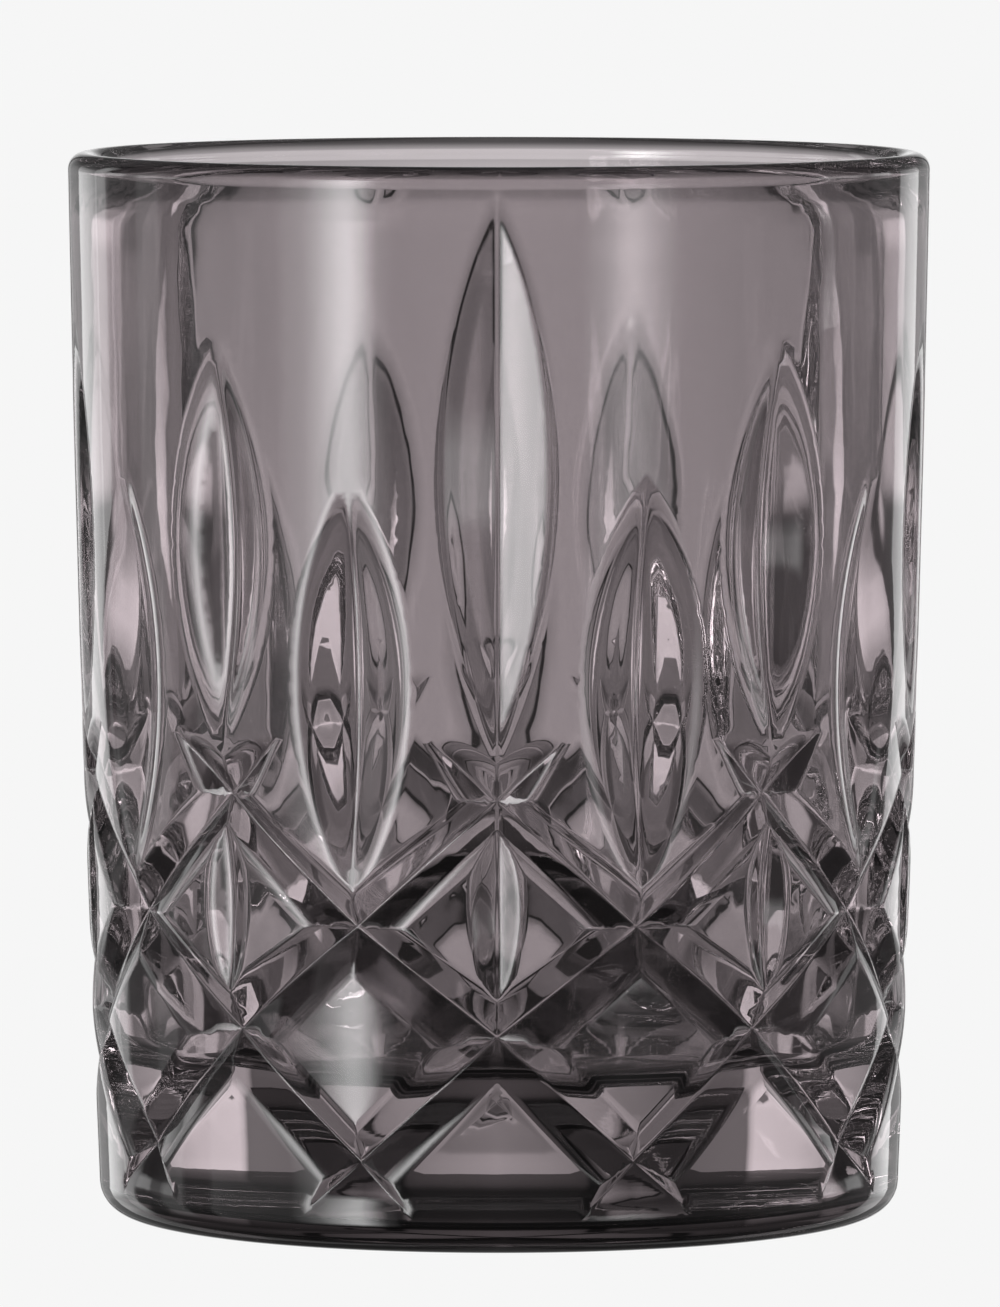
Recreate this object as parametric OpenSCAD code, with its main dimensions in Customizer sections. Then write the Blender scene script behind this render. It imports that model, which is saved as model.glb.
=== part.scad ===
// Pressed glass whiskey tumbler with a cut-style pattern.
// One solid piece of glass: nothing is joined on and nothing moves.
// Millimetres, +Z up. Origin: centre of the resting face at the bottom.
// Nine long cuts, nine short ones and a diamond lattice go round the glass.
// Every third long cut is a tall one, and one of these faces -Y.

/* [Overall size] */
// Height from the resting face to the top of the lip
height = 98; // [92:0.5:106]
// Outside diameter at the rim
rim_d = 79.4; // [77:0.2:84]
// Outside diameter just above the rounded bottom edge
base_d = 73.9; // [72:0.2:76]
// Outside diameter at the height where the taper changes
waist_d = 77.3; // [76.4:0.1:78]
// Height where the taper changes
waist_z = 51.5; // [46:0.5:60]
// Radius of the rounded bottom edge
foot_r = 3.1; // [2:0.1:4]

/* [Inside] */
// Thickness of the rounded lip
lip_t = 3.1; // [2.6:0.1:3.6]
// Inside diameter just under the lip
throat_d = 70.8; // [69.6:0.1:71.4]
// Inside diameter at the taper change of the inner wall
belly_d = 70.4; // [69.4:0.1:70.8]
// Inside diameter just above the round at the cavity floor
floor_d = 65.9; // [63:0.1:66.5]
// Thickness of the glass under the cavity
floor_t = 14.8; // [12:0.2:18]
// Radius of the round between the inner wall and the cavity floor
floor_r = 3; // [2:0.5:5]
// Depth of the shallow hollow under the base
hollow_t = 0.5; // [0.3:0.1:1]
// Diameter of the shallow hollow under the base
hollow_d = 54; // [46:1:58]

/* [Pattern] */
// Height of the deepest point of a tall leaf cut
tall_z = 70.4; // [68:0.2:71]
// Length of a tall leaf cut
tall_len = 49.6; // [44:0.4:50]
// Width of a tall leaf cut
tall_w = 10; // [9:0.1:11]
// Depth of a tall leaf cut
tall_t = 2.15; // [1.6:0.05:2.3]
// Height of the deepest point of a middle leaf cut
middle_z = 63.6; // [60:0.2:66]
// Height of the deepest point of a short leaf cut
short_z = 51.4; // [50:0.2:54]
// Length of a short or middle leaf cut
short_len = 34.4; // [32:0.4:38]
// Width of a short or middle leaf cut
short_w = 9; // [8.6:0.1:10.4]
// Depth of a short or middle leaf cut
short_t = 2.3; // [1.6:0.05:2.4]
// Height of the deepest point of a small cut in a diamond
small_z = 31.2; // [30.6:0.2:32]
// Length of a small cut in a diamond
small_len = 18; // [15:0.2:19]
// Width of a small cut in a diamond
small_w = 4.4; // [4:0.1:5.4]
// Depth of a small cut in a diamond
small_t = 1; // [0.7:0.05:1.1]
// Depth of the diagonal grooves at the second row of crossings
groove_t = 1.35; // [1.1:0.05:1.5]
// Width of the upper flank of a diagonal groove
flank_up = 2.15; // [1.9:0.05:2.4]
// Width of the lower flank of a diagonal groove
flank_low = 2.8; // [2.4:0.05:3.1]

/* [Look] */
// Colour of the glass, red green blue opacity
glass_color = [0.45, 0.41, 0.42, 0.5];

/* [Hidden] */
$fn = 180;

// Number of long cuts around the glass, and how many there are to each tall one
repeats = 9;
tall_every = 3;
pitch = 360 / repeats;
rim_r = rim_d / 2;
base_r = base_d / 2;
waist_r = waist_d / 2;
lip_r = lip_t / 2;
lip_z = height - lip_r;
throat_r = throat_d / 2;
throat_z = height - 5.5;
belly_r = belly_d / 2;
belly_z = 0.66 * height;
inner_r = floor_d / 2;
inner_z = floor_t + floor_r;

// Heights of the four rows where the diagonal grooves cross
row_z = [41.1, 29.6, 19.7, 8.3];
// Depth of the grooves at each row, as a share of groove_t
row_share = [0.93, 1, 1.3, 1.04];
// A groove runs on past the first and last rows, then leaves the surface
tail_rise = 5.2;
tail_turn = 0.44;
tail_drop = 4;
tail_turn_low = 0.34;
tail_clear = 0.2;

// How far the cutting tools stand out of the glass
tool_t = 1.3;
// How far a leaf tool turns past each end of its cut, degrees
tool_arc = 3;
// How far each straight run of a groove tool passes its ends
tool_over = 0.5;

// Outside radius of the plain body at height z
function outer_r(z) = z < waist_z
    ? base_r + (waist_r - base_r) * (z - foot_r) / (waist_z - foot_r)
    : waist_r + (rim_r - waist_r) * (z - waist_z) / (lip_z - waist_z);

// Lean of the outside wall at height z, degrees from upright
function lean(z) = z < waist_z
    ? atan((waist_r - base_r) / (waist_z - foot_r))
    : atan((rim_r - waist_r) / (lip_z - waist_z));

// Plain outside of the glass, solid right through
module body_profile() {
    polygon([
        [0, 0],
        [base_r - foot_r, 0],
        [base_r - foot_r, foot_r],
        [base_r, foot_r],
        [waist_r, waist_z],
        [rim_r, lip_z],
        [0, lip_z]
    ]);
    translate([base_r - foot_r, foot_r]) circle(r = foot_r);
    translate([rim_r - lip_r, lip_z]) circle(r = lip_r);
}

// Drinking space, open above the lip
module cavity_profile() {
    difference() {
        polygon([
            [0, floor_t],
            [inner_r - floor_r, floor_t],
            [inner_r - floor_r, inner_z],
            [inner_r, inner_z],
            [belly_r, belly_z],
            [throat_r, throat_z],
            [rim_r - lip_t, lip_z],
            [rim_r - lip_r, lip_z],
            [rim_r - lip_r, height + 1],
            [0, height + 1]
        ]);
        translate([rim_r - lip_r, lip_z]) circle(r = lip_r);
    }
    intersection() {
        translate([inner_r - floor_r, inner_z]) circle(r = floor_r);
        translate([0, floor_t]) square([inner_r, floor_r]);
    }
}

// Shallow hollow that leaves a resting ring under the base
module hollow_profile() {
    polygon([
        [0, -1],
        [hollow_d / 2 + 1, -1],
        [hollow_d / 2 + 1, 0],
        [hollow_d / 2, 0],
        [hollow_d / 2 - 2, hollow_t],
        [0, hollow_t]
    ]);
}

// Leaf-shaped cut: a wheel with a V edge, held upright against the wall
module leaf_tool(z, len, w, t) {
    wheel_r = (len * len / 4 + t * t) / (2 * t);
    flare = w / 2 / (t - w * w / 8 / outer_r(z));
    edge_t = t + tool_t;
    out = wheel_r - t;
    arc = asin(len / 2 / wheel_r) + tool_arc;
    translate([outer_r(z) + out * cos(lean(z)), 0, z - out * sin(lean(z))])
        rotate([90, 0, 0])
            rotate([0, 0, 180 - arc])
                rotate_extrude(angle = 2 * arc)
                    polygon([
                        [wheel_r, 0],
                        [wheel_r - edge_t, flare * edge_t],
                        [wheel_r - edge_t, -flare * edge_t]
                    ]);
}

// Straight V tool from [turn, radius, height] a to b, turn in degrees
module run_tool(a, b) {
    mid = (a[0] + b[0]) / 2;
    half = abs(b[0] - a[0]) / 2;
    dir = b[0] > a[0] ? 1 : -1;
    ax = a[1] * cos(half);
    bx = b[1] * cos(half);
    dx = bx - ax;
    dy = dir * (a[1] + b[1]) * sin(half);
    dz = b[2] - a[2];
    run = norm([dx, dy, dz]);
    slope = atan(dz / dy);
    tilt = dir * asin(dx / run);
    cy = dir * (b[1] - a[1]) * sin(half) / 2;
    rise = groove_t + tool_t;
    up = rise * flank_up / groove_t;
    low = rise * flank_low / groove_t;
    rotate([0, 0, mid])
        translate([(ax + bx) / 2, cy, (a[2] + b[2]) / 2])
            rotate([slope, 0, 0])
                rotate([0, 0, -tilt])
                    rotate([90, 0, 0])
                        linear_extrude(height = run + 2 * tool_over, center = true)
                            polygon([[0, 0], [rise, up], [rise, -low]]);
}

// Where a groove passes row i, turning dir (1 or -1) as it goes down
function crossing(i, dir) = [
    dir * i * pitch / 2,
    outer_r(row_z[i]) - groove_t * row_share[i],
    row_z[i]
];

// Ends of a groove, just clear of the surface
function top_end(dir) = [
    -dir * tail_turn * pitch / 2,
    outer_r(row_z[0] + tail_rise) + tail_clear,
    row_z[0] + tail_rise
];
function low_end(dir) = [
    dir * (3 + tail_turn_low) * pitch / 2,
    outer_r(row_z[3] - tail_drop) + tail_clear,
    row_z[3] - tail_drop
];

// One diagonal groove from its top end to its low end
module groove_tool(dir) {
    run_tool(top_end(dir), crossing(0, dir));
    run_tool(crossing(0, dir), crossing(1, dir));
    run_tool(crossing(1, dir), crossing(2, dir));
    run_tool(crossing(2, dir), crossing(3, dir));
    run_tool(crossing(3, dir), low_end(dir));
}

module tumbler_glass() {
    color(glass_color)
        difference() {
            rotate_extrude() body_profile();
            rotate_extrude() cavity_profile();
            rotate_extrude() hollow_profile();
            for (i = [0 : repeats - 1])
                rotate([0, 0, i * pitch - 90])
                    if (i % tall_every == 0) leaf_tool(tall_z, tall_len, tall_w, tall_t);
                    else leaf_tool(middle_z, short_len, short_w, short_t);
            for (i = [0 : repeats - 1])
                rotate([0, 0, (i + 0.5) * pitch - 90])
                    leaf_tool(short_z, short_len, short_w, short_t);
            for (i = [0 : repeats - 1])
                rotate([0, 0, i * pitch - 90])
                    leaf_tool(small_z, small_len, small_w, small_t);
            for (i = [0 : repeats - 1])
                rotate([0, 0, i * pitch - 90]) groove_tool(1);
            for (i = [0 : repeats - 1])
                rotate([0, 0, i * pitch - 90]) groove_tool(-1);
        }
}

tumbler_glass();
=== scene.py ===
import math

import bpy
import numpy as np
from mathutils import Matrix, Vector
from mathutils.geometry import delaunay_2d_cdt


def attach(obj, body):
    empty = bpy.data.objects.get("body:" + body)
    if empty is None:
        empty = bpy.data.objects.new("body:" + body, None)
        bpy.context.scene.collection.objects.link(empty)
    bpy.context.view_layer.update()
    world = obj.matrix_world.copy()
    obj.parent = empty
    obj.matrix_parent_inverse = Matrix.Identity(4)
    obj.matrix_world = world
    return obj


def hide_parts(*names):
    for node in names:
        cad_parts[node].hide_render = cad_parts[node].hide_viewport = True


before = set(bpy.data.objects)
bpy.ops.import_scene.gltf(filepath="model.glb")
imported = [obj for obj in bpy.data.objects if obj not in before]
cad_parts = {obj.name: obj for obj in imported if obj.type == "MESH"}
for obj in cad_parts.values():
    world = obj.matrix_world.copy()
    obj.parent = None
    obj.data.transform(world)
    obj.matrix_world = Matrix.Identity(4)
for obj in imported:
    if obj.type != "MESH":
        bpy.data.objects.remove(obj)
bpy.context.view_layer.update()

MM = 0.001

# ---------------------------------------------------------------- glass body, millimetres
HEIGHT = 98.0
RIM_R = 39.68
BASE_R = 36.95
BOW = 0.27            # how far the wall bulges outside a straight taper
FOOT_R = 3.1          # round at the bottom edge
LIP_R = 1.55
LIP_Z = HEIGHT - LIP_R
FLOOR_T = 14.8
FLOOR_R = 3.0         # round between the cavity floor and the inner wall
# radius, height of the shallow hollow under the base
HOLLOW = ((25.0, 0.5), (26.0, 0.36), (27.0, 0.08), (27.6, 0.0))
# radius, height of the inner wall from the floor round to the lip
INNER = (
    (32.95, 17.8), (33.3, 24.0), (34.1, 40.0), (34.9, 55.0), (35.3, 68.0), (35.38, 80.0),
    (35.42, 90.0), (35.5, 92.5), (35.8, 94.3), (36.25, 95.6), (36.6, 96.45),
)
# heights of the mesh rings of the inner wall, and radii of those on the cavity floor
INNER_RINGS = (
    95.9, 95.3, 94.7, 94.1, 93.5, 92.8, 92.0, 91.0, 89.0, 84.0,
    76.0, 68.0, 61.0, 54.0, 47.0, 40.0, 33.0, 26.0, 21.0, 17.8,
)
FLOOR_RINGS = (20.0, 10.0)

# ---------------------------------------------------------------- cut pattern, millimetres and degrees
REPEATS = 9
TALL_EVERY = 3        # every third long leaf is a tall one
PITCH = 360.0 / REPEATS
HALF = PITCH / 2
# centre height, half length, half width, depth, rounding of its edge and of its crease
TALL = (70.4, 24.8, 5.0, 2.15, 0.3, 0.2)
MIDDLE = (63.6, 16.8, 4.4, 2.45, 0.95, 0.5)
SHORT = (51.4, 16.8, 4.4, 2.45, 0.95, 0.5)
SMALL = (31.2, 9.0, 2.2, 1.1, 0.3, 0.3)
ROW_Z = (41.1, 29.6, 19.7, 8.3)             # heights where the grooves cross
ROW_DEPTH = (1.25, 1.35, 1.75, 1.4)
TAIL_TURN = (8.8, 6.8)      # how far a groove turns past the first and last crossing
TAIL_RISE = (5.2, 4.0)
FLANK_UP = 2.15 / 1.35      # flank width for each unit of depth, square to the groove
FLANK_LOW = 2.8 / 1.35
LEAN = math.cos(math.radians(41.0))         # slant of a groove, for distances square to it
GROOVE_TIP = 0.1      # rounding of the bottom of a groove
ROUND_EDGE = 0.4      # rounding where grooves meet the plain wall
ROUND_CREASE = 0.1    # rounding where two cuts meet
FADE = 0.6            # height over which cuts fade out at the foot and the lip
NO_CUT = -9.0         # depth far outside any groove
LAPS = range(-1, 3)   # pitches that a groove and its tails run through
PROBE = 0.03          # step for measuring the slope of the wall
PROBE_TURN = math.degrees(PROBE / 38)       # and the same step round it

# ---------------------------------------------------------------- mesh of the patterned wall
STEPS_HALF = 24       # columns in half a pitch
COLS = STEPS_HALF * 2 * REPEATS
ROUND_STEPS = 8       # rings in a quarter round
SEAM_ROWS = 134       # points up the two sides of half a pitch
FLAT_R = 38.5         # radius at which the wall is unrolled
FLAT_W = math.radians(HALF) * FLAT_R
EDGE_STEPS = (-1.0, -0.5, 0.0, 0.5, 1.0)    # mesh lines beside an edge, in units of its rounding
CREASE_STEPS = (0.0, 0.7, 1.6, 3.2)         # and beside a crease
FILL = 1.3            # spacing elsewhere
ROW_RATIO = 0.87      # row spacing for each unit of FILL, for even triangles
LEAF_POINTS = 2.8     # points of a leaf's lines, for each mm of its half length
GROOVE_POINTS = 1.2   # points of a groove's lines, for each degree of its turn
LONGEST_STEP = 2.0    # points of one line further apart than this aren't joined
CREASE_GAP = 0.15     # crease lines stop this far from the edge of their leaf
SIDE_GAP = 0.2        # filling points stay this far from the sides
END_GAP = 0.3         # lines stop this far from the foot and the lip
MERGE = 0.02          # points closer than this become one
WELD = 0.002          # size of the grid on which the strips are welded
WELD_SHIFT = 0.29     # keeps round numbers off the edges of that grid

# ---------------------------------------------------------------- glass
THIN_COAT, NO_COAT, PAINTED_SHADE_SLOT = 0, 1, 2     # material slots; the last one holds the painted shade of the foot
TINT = (0.275, 0.234, 0.247)                # smoky coat on the outside
FOOT_PAINTED_SHADE = (0.012, 0.0098, 0.0104)         # near black on the foot and under the base: painted shade for the dark surroundings seen through it
CLEAR = (1, 1, 1)
GLASS_IOR = 1.52
MAX_ROUGHNESS = 0.012
# stretch, scale and height in metres of the faint waves left by pressing
OUTER_WAVES = ((1, 1, 0.5), 260.0, 0.000012)
INNER_WAVES = ((1, 1, 0.35), 180.0, 0.00003)


def outer_radius(z):
    """Radius of the plain outside wall."""
    t = (z - FOOT_R) / (LIP_Z - FOOT_R)
    return BASE_R + (RIM_R - BASE_R) * t + BOW * 4 * t * (1 - t)


def smooth_max(a, b, k):
    """The larger of two depths, blended where they are within k of each other."""
    h = np.maximum(k - np.abs(a - b), 0) / k
    return np.maximum(a, b) + h * h * k / 4


def soft_abs(x, k):
    """|x| with a rounded tip."""
    return np.sqrt(x * x + k * k) - k * 0.5


def leaf(theta, z, size, turn):
    """Depth of one ring of leaf cuts, rounded where they run out into the wall."""
    zc, half_len, half_w, depth, round_edge, round_crease = size
    around = (theta - turn + HALF) % PITCH - HALF
    r = outer_radius(z)
    x = r * np.sin(np.radians(around))
    flare = half_w / (depth - half_w ** 2 / 2 / r)
    s = (z - zc) / half_len
    d = depth * (1 - s * s) - soft_abs(x, round_crease) / flare - x * x / 2 / r
    return smooth_max(d, np.zeros_like(d), round_edge)


def long_leaf(theta, z):
    """Depth of the ring of long leaf cuts, tall and middle ones."""
    is_tall = np.round(theta / PITCH) % TALL_EVERY == 0
    return np.where(is_tall, leaf(theta, z, TALL, 0.0), leaf(theta, z, MIDDLE, 0.0))


def groove_path(turn):
    """Height and depth of a groove where it has turned this far from the first crossing."""
    path_t = (-TAIL_TURN[0], 0.0, HALF, 2 * HALF, 3 * HALF, 3 * HALF + TAIL_TURN[1])
    path_z = (ROW_Z[0] + TAIL_RISE[0],) + ROW_Z + (ROW_Z[3] - TAIL_RISE[1],)
    line = np.interp(turn, path_t, path_z)
    slope_top = TAIL_RISE[0] / TAIL_TURN[0]
    slope_low = TAIL_RISE[1] / TAIL_TURN[1]
    line = np.where(turn < path_t[0], path_z[0] + (path_t[0] - turn) * slope_top, line)
    line = np.where(turn > path_t[-1], path_z[-1] - (turn - path_t[-1]) * slope_low, line)
    deep = np.interp(turn, path_t[1:5], ROW_DEPTH)
    top = np.clip(-turn / TAIL_TURN[0], 0, 3)
    low = np.clip((turn - 3 * HALF) / TAIL_TURN[1], 0, 3)
    return line, np.where(low > 0, ROW_DEPTH[3] * (1 - low), deep * (1 - top * top))


def groove(theta, z, way):
    """Depth of the nine grooves that turn one way as they go down. Negative beside them."""
    turn = (way * theta) % PITCH
    best = np.full_like(z, NO_CUT)
    for lap in LAPS:
        line, deep = groove_path(turn + lap * PITCH)
        off = (z - line) * LEAN
        flank = np.where(off > 0, FLANK_UP, FLANK_LOW)
        best = np.maximum(best, deep - soft_abs(off, GROOVE_TIP) / flank)
    return best


def join(a, b):
    """The deeper of two cuts, rounded where they run into each other."""
    deeper = np.maximum(a, b)
    both = np.clip(np.minimum(a, b) / ROUND_CREASE, 0, 1)
    return deeper + (smooth_max(a, b, ROUND_CREASE) - deeper) * both


def depth_at(theta, z):
    """How far the cuts go in from the plain outside wall. theta 0 is the front."""
    lattice = smooth_max(groove(theta, z, 1), groove(theta, z, -1), ROUND_CREASE)
    d = smooth_max(lattice, np.zeros_like(lattice), ROUND_EDGE)
    d = join(d, long_leaf(theta, z))
    d = join(d, leaf(theta, z, SHORT, HALF))
    d = join(d, leaf(theta, z, SMALL, 0.0))
    return d * np.clip((z - FOOT_R) / FADE, 0, 1) * np.clip((LIP_Z - z) / FADE, 0, 1)


def outside(theta, z):
    """Point on the outside wall. theta in degrees from the front (-Y), towards +X."""
    r = outer_radius(z) - depth_at(theta, z)
    a = np.radians(theta - 90)
    return np.stack([r * np.cos(a), r * np.sin(a), z], axis=-1)


def outside_normal(theta, z):
    """Direction square to the outside wall, from points a short step to each side."""
    dt = outside(theta + PROBE_TURN, z) - outside(theta - PROBE_TURN, z)
    dz = outside(theta, z + PROBE) - outside(theta, z - PROBE)
    n = np.cross(dt, dz)
    return n / np.linalg.norm(n, axis=-1, keepdims=True)


def pchip(xs, ys):
    """Smooth curve through points that never overshoots them."""
    xs, ys = np.asarray(xs, float), np.asarray(ys, float)
    h = np.diff(xs)
    d = np.diff(ys) / h
    m = np.zeros_like(ys)
    for i in range(1, len(ys) - 1):
        if d[i - 1] * d[i] > 0:
            w1, w2 = 2 * h[i] + h[i - 1], h[i] + 2 * h[i - 1]
            m[i] = (w1 + w2) / (w1 / d[i - 1] + w2 / d[i])
    m[0], m[-1] = d[0], d[-1]

    def f(x):
        i = np.clip(np.searchsorted(xs, x) - 1, 0, len(h) - 1)
        t = (x - xs[i]) / h[i]
        return (
            ys[i] * (1 + 2 * t) * (1 - t) ** 2
            + m[i] * h[i] * t * (1 - t) ** 2
            + ys[i + 1] * t * t * (3 - 2 * t)
            + m[i + 1] * h[i] * t * t * (t - 1)
        )

    return f


def ring_rows():
    """Plain rings of revolution: radius, height, and the normal's radial and upright parts."""
    under = [(r, z, 0.0, -1.0) for r, z in HOLLOW] + [(BASE_R - FOOT_R, 0.0, 0.0, -1.0)]
    for i in range(1, ROUND_STEPS + 1):
        a = math.radians(-90 + 90 * i / ROUND_STEPS)
        c, s = math.cos(a), math.sin(a)
        under.append((BASE_R - FOOT_R + FOOT_R * c, FOOT_R + FOOT_R * s, c, s))
    lip = []
    for i in range(2 * ROUND_STEPS + 1):
        a = math.radians(90 * i / ROUND_STEPS)
        c, s = math.cos(a), math.sin(a)
        lip.append((RIM_R - LIP_R + LIP_R * c, LIP_Z + LIP_R * s, c, s))
    wall = pchip([z for _, z in INNER], [r for r, _ in INNER])
    e = 0.05
    inner = []
    for z in INNER_RINGS:
        r, above, below = wall(np.array([z, z + e, z - e]))
        slope = (above - below) / (2 * e)
        n = math.hypot(1, slope)
        inner.append((r, z, -1 / n, slope / n))
    for i in range(1, ROUND_STEPS + 1):
        a = math.radians(-90 * i / ROUND_STEPS)
        c, s = math.cos(a), math.sin(a)
        inner.append((INNER[0][0] - FLOOR_R + FLOOR_R * c, FLOOR_T + FLOOR_R + FLOOR_R * s, -c, -s))
    inner += [(r, FLOOR_T, 0.0, 1.0) for r in FLOOR_RINGS]
    return under, lip, inner


# ---------------------------------------------------------------- patterned wall
def fold(theta):
    """Brings an angle into the half pitch from 0 to 20 degrees, by the pattern's mirrors."""
    return np.abs((theta + HALF) % PITCH - HALF)


def leaf_lines(size, at_zero):
    """Mesh lines along half a leaf, beside its edge and its crease, on the unrolled wall."""
    zc, half_len, half_w, depth, round_edge, round_crease = size
    s = np.linspace(-1, 1, int(half_len * LEAF_POINTS))
    z = zc + s * half_len
    r = outer_radius(z)
    flare = half_w / (depth - half_w ** 2 / 2 / r)
    d = depth * (1 - s * s)
    x = r * (-1 / flare + np.sqrt(1 / flare ** 2 + 2 * d / r))
    lines = []
    for step in EDGE_STEPS:
        u = FLAT_R * np.arcsin(np.clip((x + step * round_edge * flare) / r, -1, 1))
        keep = u > MERGE
        lines.append(np.stack([u[keep], z[keep]], 1))
    for step in CREASE_STEPS[1:]:
        off = step * round_crease
        inside = x > off + CREASE_GAP
        lines.append(np.stack([np.full(inside.sum(), off), z[inside]], 1))
    if not at_zero:
        lines = [np.stack([FLAT_W - line[:, 0], line[:, 1]], 1) for line in lines]
    return lines


def groove_lines():
    """Mesh lines along a groove, beside its edges and its crease, on the unrolled wall."""
    stops = (-TAIL_TURN[0], 0.0, HALF, 2 * HALF, 3 * HALF, 3 * HALF + TAIL_TURN[1])
    lines = []
    for t0, t1 in zip(stops[:-1], stops[1:]):
        t = np.linspace(t0, t1, max(3, int(abs(t1 - t0) * GROOVE_POINTS) + 1))
        line, deep = groove_path(t)
        deep = np.maximum(deep, 0)
        offsets = []
        for step in CREASE_STEPS:
            off = np.full_like(t, step * GROOVE_TIP / LEAN)
            offsets += [off, -off] if step else [off]
        for step in EDGE_STEPS:
            reach = deep + step * ROUND_EDGE
            offsets += [reach * FLANK_UP / LEAN, -reach * FLANK_LOW / LEAN]
        for off in offsets:
            lines.append(np.stack([np.radians(fold(t)) * FLAT_R, line + off], 1))
    return lines


def wall_mesh(long_size):
    """Triangles of half a pitch of the patterned wall, on the unrolled wall (u, z)."""
    pts, edges = [], []

    def add(line):
        line[:, 0] = np.clip(line[:, 0], 0, FLAT_W)
        first = len(pts)
        pts.extend(map(tuple, line))
        for k in range(len(line) - 1):
            if math.dist(line[k], line[k + 1]) < LONGEST_STEP:
                edges.append((first + k, first + k + 1))

    leaves = leaf_lines(long_size, True) + leaf_lines(SHORT, False) + leaf_lines(SMALL, True)
    for line in leaves + groove_lines():
        line = line[(line[:, 1] > FOOT_R + END_GAP) & (line[:, 1] < LIP_Z - END_GAP)]
        if len(line) > 1:
            add(line)
    cols = np.linspace(0, FLAT_W, STEPS_HALF + 1)
    sides = np.linspace(FOOT_R, LIP_Z, SEAM_ROWS)
    for z in (FOOT_R, LIP_Z):
        add(np.stack([cols, np.full_like(cols, z)], 1))
    for u in (0.0, FLAT_W):
        add(np.stack([np.full_like(sides, u), sides], 1))
    rows = int((LIP_Z - FOOT_R) / (FILL * ROW_RATIO))
    per_row = int(FLAT_W / FILL) + 1
    for k in range(1, rows):
        z = FOOT_R + (LIP_Z - FOOT_R) * k / rows
        us = np.linspace(0, FLAT_W, per_row)
        if k % 2:
            us = us + FLAT_W / (per_row - 1) / 2
        pts.extend((float(u), float(z)) for u in us if SIDE_GAP < u < FLAT_W - SIDE_GAP)
    out = delaunay_2d_cdt([Vector(p) for p in pts], edges, [], 0, MERGE)
    uv = np.array([tuple(v) for v in out[0]])
    tri = np.array([f for f in out[2] if len(f) == 3])
    return uv, tri


def build_glass():
    """The whole tumbler as one closed mesh, with a material slot for each kind of face."""
    theta = np.arange(COLS) * 360.0 / COLS
    under, lip, inner = ring_rows()
    verts, norms, tris, coats = [], [], [], []

    def plain(part, coat):
        """Adds rings of revolution and the faces between them. Returns their first and last ring."""
        first = sum(map(len, verts))
        for r, z, nr, nz in part:
            a = np.radians(theta - 90)
            verts.append(np.stack([r * np.cos(a), r * np.sin(a), np.full_like(a, z)], axis=-1))
            norms.append(np.stack([nr * np.cos(a), nr * np.sin(a), np.full_like(a, nz)], axis=-1))
        i, j = np.meshgrid(np.arange(COLS), np.arange(len(part) - 1))
        i, j = i.ravel(), j.ravel()
        a = first + j * COLS + i
        b = first + j * COLS + (i + 1) % COLS
        tris.append(np.stack([a, b, b + COLS], 1))
        tris.append(np.stack([a, b + COLS, a + COLS], 1))
        coats.extend([np.asarray(coat)[j]] * 2)
        return first, first + (len(part) - 1) * COLS

    # the underside and the foot round get the near-black painted shade
    low_first, _ = plain(under, [PAINTED_SHADE_SLOT] * len(under))
    coated = len(lip) // 2
    inside = [THIN_COAT] * coated + [NO_COAT] * (len(lip) + len(inner) - coated)
    _, floor_last = plain(lip + inner, inside)
    tall_wall, middle_wall = wall_mesh(TALL), wall_mesh(MIDDLE)
    for k in range(REPEATS):
        uv, tri = middle_wall if k % TALL_EVERY else tall_wall
        flat_t, z = np.degrees(uv[:, 0] / FLAT_R), uv[:, 1]
        for way in (1, -1):
            first = sum(map(len, verts))
            t = k * PITCH + way * flat_t
            verts.append(outside(t, z))
            norms.append(outside_normal(t, z))
            tris.append(first + (tri if way > 0 else tri[:, ::-1]))
            coats.append(np.full(len(tri), THIN_COAT))
    # centres of the hollow under the base and of the cavity floor
    hub = sum(map(len, verts))
    verts.append(np.array([[0, 0, HOLLOW[0][1]], [0, 0, FLOOR_T]]))
    norms.append(np.array([[0.0, 0, -1], [0, 0, 1]]))
    k = np.arange(COLS)
    k2 = (k + 1) % COLS
    tris.append(np.stack([low_first + k2, low_first + k, np.full_like(k, hub)], 1))
    tris.append(np.stack([floor_last + k, floor_last + k2, np.full_like(k, hub + 1)], 1))
    coats += [np.full(COLS, PAINTED_SHADE_SLOT), np.full(COLS, NO_COAT)]
    verts, norms, tris = np.concatenate(verts), np.concatenate(norms), np.concatenate(tris)
    coats = np.concatenate(coats)

    # weld the strips where they meet
    key = np.floor(verts / WELD + WELD_SHIFT).astype(np.int64)
    _, first_of, same = np.unique(key, axis=0, return_index=True, return_inverse=True)
    same = same.ravel()
    summed = np.zeros((len(first_of), 3))
    np.add.at(summed, same, norms)
    summed /= np.linalg.norm(summed, axis=1, keepdims=True)
    verts = verts[first_of]
    tris = same[tris]
    good = (tris[:, 0] != tris[:, 1]) & (tris[:, 1] != tris[:, 2]) & (tris[:, 0] != tris[:, 2])
    tris, coats = tris[good], coats[good]
    mesh = bpy.data.meshes.new("tumbler_glass_cut")
    mesh.from_pydata((verts * MM).tolist(), [], tris.tolist())
    mesh.polygons.foreach_set("use_smooth", [True] * len(mesh.polygons))
    mesh.polygons.foreach_set("material_index", coats.tolist())
    mesh.normals_split_custom_set_from_vertices(summed.tolist())
    mesh.update()
    obj = bpy.data.objects.new("tumbler_glass_cut", mesh)
    bpy.context.scene.collection.objects.link(obj)
    return obj


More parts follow.
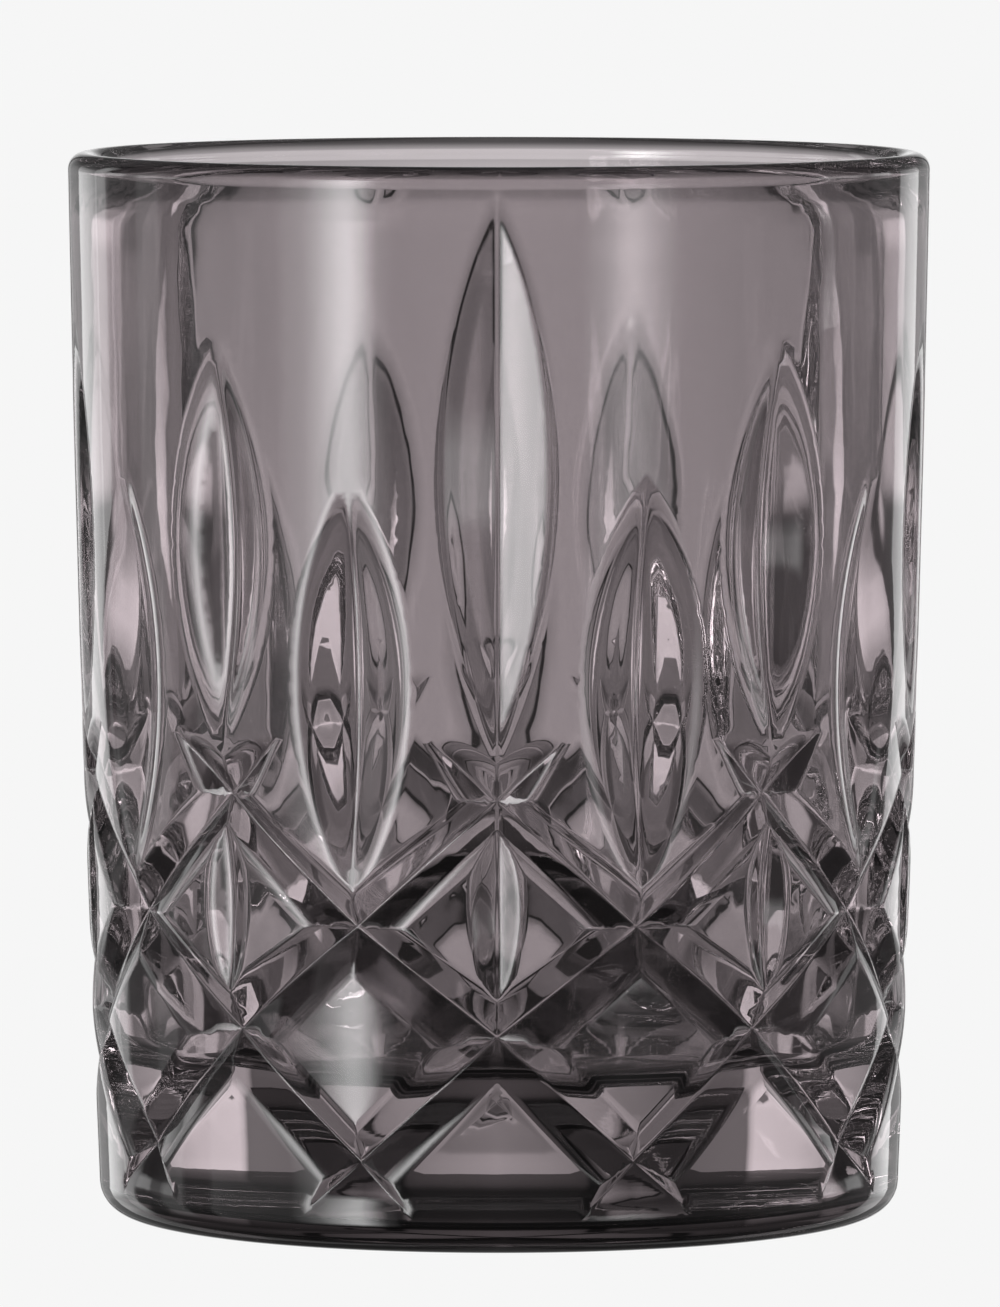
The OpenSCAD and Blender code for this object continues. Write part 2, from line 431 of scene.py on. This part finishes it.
def glass_material(name, tint, waves):
    """Clear glass. tint is what is left of white light after it passes two coated faces; on the foot it is
    a near-black painted shade.
    """
    stretch, scale, height = waves
    mat = bpy.data.materials.new(name)
    mat.use_nodes = True
    nodes, links = mat.node_tree.nodes, mat.node_tree.links
    bsdf = nodes["Principled BSDF"]
    bsdf.inputs["Base Color"].default_value = tint + (1,)
    bsdf.inputs["IOR"].default_value = GLASS_IOR
    bsdf.inputs["Transmission Weight"].default_value = 1.0
    coord = nodes.new("ShaderNodeTexCoord")
    mapping = nodes.new("ShaderNodeMapping")
    mapping.inputs["Scale"].default_value = stretch
    noise = nodes.new("ShaderNodeTexNoise")
    noise.inputs["Scale"].default_value = scale
    noise.inputs["Detail"].default_value = 2.0
    gloss = nodes.new("ShaderNodeMapRange")
    gloss.inputs["To Min"].default_value = 0.0
    gloss.inputs["To Max"].default_value = MAX_ROUGHNESS
    bump = nodes.new("ShaderNodeBump")
    bump.inputs["Strength"].default_value = 1.0
    bump.inputs["Distance"].default_value = height
    links.new(coord.outputs["Object"], mapping.inputs["Vector"])
    links.new(mapping.outputs[0], noise.inputs["Vector"])
    links.new(noise.outputs["Fac"], gloss.inputs["Value"])
    links.new(gloss.outputs[0], bsdf.inputs["Roughness"])
    links.new(noise.outputs["Fac"], bump.inputs["Height"])
    links.new(bump.outputs[0], bsdf.inputs["Normal"])
    return mat


glass = build_glass()
for slot_name, slot_tint, slot_waves in (
    ("smoked_glass_outside", TINT, OUTER_WAVES),
    ("smoked_glass_inside", CLEAR, INNER_WAVES),
    # near-black painted shade on the foot and under the base
    ("glass_foot_painted_shade", FOOT_PAINTED_SHADE, OUTER_WAVES),
):
    glass.data.materials.append(glass_material(slot_name, slot_tint, slot_waves))
glass.visible_diffuse = False
glass.visible_shadow = False
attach(glass, "root")
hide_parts("tumbler_glass")

# ---------------------------------------------------------------- floor
FLOOR_HALF = 14.0           # metres
FLOOR_DROP = 0.0002         # just under the resting face
PALE = 0.922                # the floor, and the backdrop that the camera sees

floor_mesh = bpy.data.meshes.new("floor")
corners = [(-1, -1), (1, -1), (1, 1), (-1, 1)]
floor_mesh.from_pydata([(x * FLOOR_HALF, y * FLOOR_HALF, 0) for x, y in corners], [], [(0, 1, 2, 3)])
floor = bpy.data.objects.new("floor", floor_mesh)
bpy.context.scene.collection.objects.link(floor)
floor.location.z = -FLOOR_DROP
floor_pale = bpy.data.materials.new("floor_pale")
floor_pale.use_nodes = True
floor_bsdf = floor_pale.node_tree.nodes["Principled BSDF"]
floor_bsdf.inputs["Base Color"].default_value = (PALE, PALE, PALE, 1)
floor_bsdf.inputs["Roughness"].default_value = 0.9
floor_bsdf.inputs["Specular IOR Level"].default_value = 0.0
floor_mesh.materials.append(floor_pale)
floor.visible_glossy = False
floor.visible_transmission = False

# ---------------------------------------------------------------- studio
# The glass sees soft panels in a dark room. The floor is lit by a plain even sky, and the
# camera sees a plain pale backdrop.
# Panels are (azimuth, brightness) across and (elevation, share) up, in degrees. Azimuth is
# from straight behind the glass (+Y), to the right positive. Outside its list a panel keeps
# its end value.
SCALE = 10.0          # a colour ramp holds brightness up to 1, so it is divided by this
HAZE = 0.03           # light that comes from everywhere
# straight behind, the same on both sides
BACK = [(0, 1.12), (5, 0.9), (8.4, 0.7), (8.8, 0.04), (10.8, 0.04), (11.4, 0.6), (14, 0.5), (17, 0.42),
        (20, 0.45), (25, 0.5), (27, 0.5), (28.4, 0.3), (45, 0.16), (180, 0.08)]
BACK_UP = [(-90, 0.08), (-36, 0.12), (-28, 0.22), (-22, 0.4), (-18, 0.5), (-14, 0.65), (-12, 0.95),
           (-8, 1.0), (-1, 0.95), (4, 0.75), (7, 0.5), (10, 0.25), (14, 0.12), (40, 0.08), (90, 0.08)]
# bright panels behind to both sides
SIDES = [(0, 0.0), (27.4, 0.0), (28.4, 2.1), (36, 2.0), (40, 1.7), (43.5, 1.3), (44.5, 0.0), (180, 0.0)]
SIDES_UP = [(-34, 0.15), (-24, 0.3), (-20, 0.5), (-12, 0.45), (-10, 0.7), (-8, 0.95), (-4, 1.0), (-2, 0.7),
            (1, 0.45), (6, 0.3), (9, 0.08), (40, 0.0)]
# low panels at both sides, level with the glass
LOW = [(0, 0.0), (49, 0.0), (52, 1.3), (60, 1.3), (62, 0.3), (66, 0.3), (69, 1.0), (84, 1.2), (90, 0.0),
       (180, 0.0)]
LOW_UP = [(-3, 0.0), (-1, 1.0), (6, 1.0), (9, 0.0)]
# strip light at the front left, and fill along the left side
STRIPS = [(-152, 0.0), (-147, 0.7), (-143.5, 4.5), (-140, 8.0), (-137, 7.6), (-133, 5.0), (-127, 1.8),
          (-118, 0.3), (-100, 0.3), (-90, 0.4), (-88, 0.02), (-78, 0.02), (-76, 0.5), (-68, 0.4),
          (-66, 0.1), (-60, 0.0), (-51, 0.0), (-49, 1.2), (-44, 1.2), (-43, 0.0), (180, 0.0)]
STRIPS_UP = [(-28, 0.0), (-21, 1.0), (16, 1.0), (23, 0.0)]
# faint glow at the front right
GLOW = [(130, 0.0), (138, 1.4), (143, 2.2), (150, 1.6), (158, 0.0)]
GLOW_UP = [(-10, 0.0), (-7, 1.0), (-4, 1.0), (-2.5, 0.0)]

world = bpy.data.worlds.new("studio")
bpy.context.scene.world = world
world.use_nodes = True
world.cycles.sampling_method = "NONE"
world_nodes, world_links = world.node_tree.nodes, world.node_tree.links
world_nodes.clear()


def math_node(op, a, b=None):
    """Output of a Math node. a and b are numbers or sockets."""
    n = world_nodes.new("ShaderNodeMath")
    n.operation = op
    for i, v in enumerate((a, b)):
        if isinstance(v, (int, float)):
            n.inputs[i].default_value = v
        elif v is not None:
            world_links.new(v, n.inputs[i])
    return n.outputs[0]


def ramp(value, stops):
    """Grey curve through stops of (position 0 to 1, brightness)."""
    n = world_nodes.new("ShaderNodeValToRGB")
    els = n.color_ramp.elements
    while len(els) > 1:
        els.remove(els[-1])
    els[0].position = stops[0][0]
    els[0].color = (stops[0][1],) * 3 + (1,)
    for p, v in stops[1:]:
        els.new(p).color = (v,) * 3 + (1,)
    world_links.new(value, n.inputs[0])
    return n.outputs[0]


def pick(switch, otherwise, value):
    """A fixed value where switch is 1, and otherwise the other socket."""
    n = world_nodes.new("ShaderNodeMix")
    n.data_type = "FLOAT"
    world_links.new(switch, n.inputs[0])
    world_links.new(otherwise, n.inputs[2])
    n.inputs[3].default_value = value
    return n.outputs[0]


look = world_nodes.new("ShaderNodeSeparateXYZ")
world_links.new(world_nodes.new("ShaderNodeTexCoord").outputs["Generated"], look.inputs[0])
azimuth = math_node("MULTIPLY", math_node("ARCTAN2", look.outputs[0], look.outputs[1]), 180 / math.pi)
elevation = math_node("MULTIPLY", math_node("ARCSINE", look.outputs[2]), 180 / math.pi)
side = math_node("DIVIDE", math_node("ABSOLUTE", azimuth), 180.0)
around = math_node("ADD", math_node("DIVIDE", azimuth, 360.0), 0.5)
upward = math_node("ADD", math_node("DIVIDE", elevation, 180.0), 0.5)


def panel(across, up, both_sides):
    """Brightness of one panel, the same on both sides or placed by its signed azimuth."""
    if both_sides:
        spread = ramp(side, [(a / 180, v / SCALE) for a, v in across])
    else:
        spread = ramp(around, [(0.5 + a / 360, v / SCALE) for a, v in across])
    return math_node("MULTIPLY", spread, ramp(upward, [(0.5 + e / 180, v) for e, v in up]))


total = panel(BACK, BACK_UP, True)
for across, up, both_sides in (
    (STRIPS, STRIPS_UP, False),
    (SIDES, SIDES_UP, True),
    (LOW, LOW_UP, True),
    (GLOW, GLOW_UP, False),
):
    total = math_node("ADD", total, panel(across, up, both_sides))
studio = math_node("ADD", math_node("MULTIPLY", total, SCALE), HAZE)
rays = world_nodes.new("ShaderNodeLightPath").outputs
seen_or_lit = math_node("MAXIMUM", rays["Is Camera Ray"], rays["Is Diffuse Ray"])
sky = pick(seen_or_lit, studio, 1.0)
background = world_nodes.new("ShaderNodeBackground")
background.inputs["Color"].default_value = (1, 1, 1, 1)
world_links.new(pick(rays["Is Camera Ray"], sky, PALE), background.inputs["Strength"])
world_out = world_nodes.new("ShaderNodeOutputWorld")
world_links.new(background.outputs[0], world_out.inputs["Surface"])

# ---------------------------------------------------------------- camera, metres and degrees
CAM_DIST = 1.2591
CAM_H = 0.1438
CAM_PITCH = 4.185     # looking down
CAM_AZ = 0.27         # to the right of straight in front
SENSOR_MM = 24.0
LENS_MM = 251.20122
SHIFT_X = 0.00078806  # part of the frame's height

cam = bpy.data.cameras.new("camera")
cam.sensor_fit = "VERTICAL"
cam.sensor_height = SENSOR_MM
cam.lens = LENS_MM
cam.shift_x = SHIFT_X
cam.clip_start = 0.05
cam.clip_end = 50
cam_obj = bpy.data.objects.new("camera", cam)
bpy.context.scene.collection.objects.link(cam_obj)
cam_turn = math.radians(CAM_AZ)
cam_obj.location = (CAM_DIST * math.sin(cam_turn), -CAM_DIST * math.cos(cam_turn), CAM_H)
cam_obj.rotation_euler = (math.radians(90 - CAM_PITCH), 0, cam_turn)
bpy.context.scene.camera = cam_obj

sc = bpy.context.scene
sc.view_settings.view_transform = "Standard"
sc.cycles.max_bounces = 24
sc.cycles.transmission_bounces = 24
sc.cycles.glossy_bounces = 16
sc.cycles.use_denoising = True
